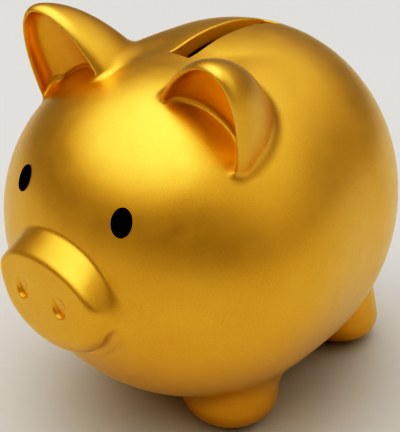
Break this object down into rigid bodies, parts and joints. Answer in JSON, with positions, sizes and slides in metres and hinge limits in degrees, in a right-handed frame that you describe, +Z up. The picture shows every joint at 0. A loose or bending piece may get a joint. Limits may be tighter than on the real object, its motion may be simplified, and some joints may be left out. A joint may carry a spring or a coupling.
{
  "type": "coin bank",
  "caption": "Round pig-shaped coin bank: hollow gold body with a coin slot along the back, stub legs, cupped ears, snout and a rubber stopper in the belly.",
  "frame": {"origin": "on the table, under the middle of the whole bank", "axes": "+Z up, the pig faces -Y, its left side is +X"},
  "size_m": [0.1076, 0.133, 0.1237],
  "materials": {
    "gold_paint": "ceramic sprayed with a fine satin metallic gold paint",
    "black_enamel": "smooth black enamel, semi-matt",
    "stopper_rubber": "soft black rubber, matt",
    "pad_foam": "dark closed-cell foam, matt"
  },
  "bodies": {
    "bank": {"body_shell": "gold_paint", "snout": "gold_paint", "ear_left": "gold_paint", "ear_right": "gold_paint", "leg_front_left": "gold_paint", "leg_front_right": "gold_paint", "leg_rear_left": "gold_paint", "leg_rear_right": "gold_paint", "tail": "gold_paint", "eye_left": "black_enamel", "eye_right": "black_enamel", "pad_front_left": "pad_foam", "pad_front_right": "pad_foam", "pad_rear_left": "pad_foam", "pad_rear_right": "pad_foam"},
    "stopper": {"stopper": "stopper_rubber"}
  },
  "joints": [
    {"name": "stopper_pull", "type": "slide", "parent": "bank", "child": "stopper", "axis": [0, 0, -1], "range_m": [0, 0.03]}
  ]
}
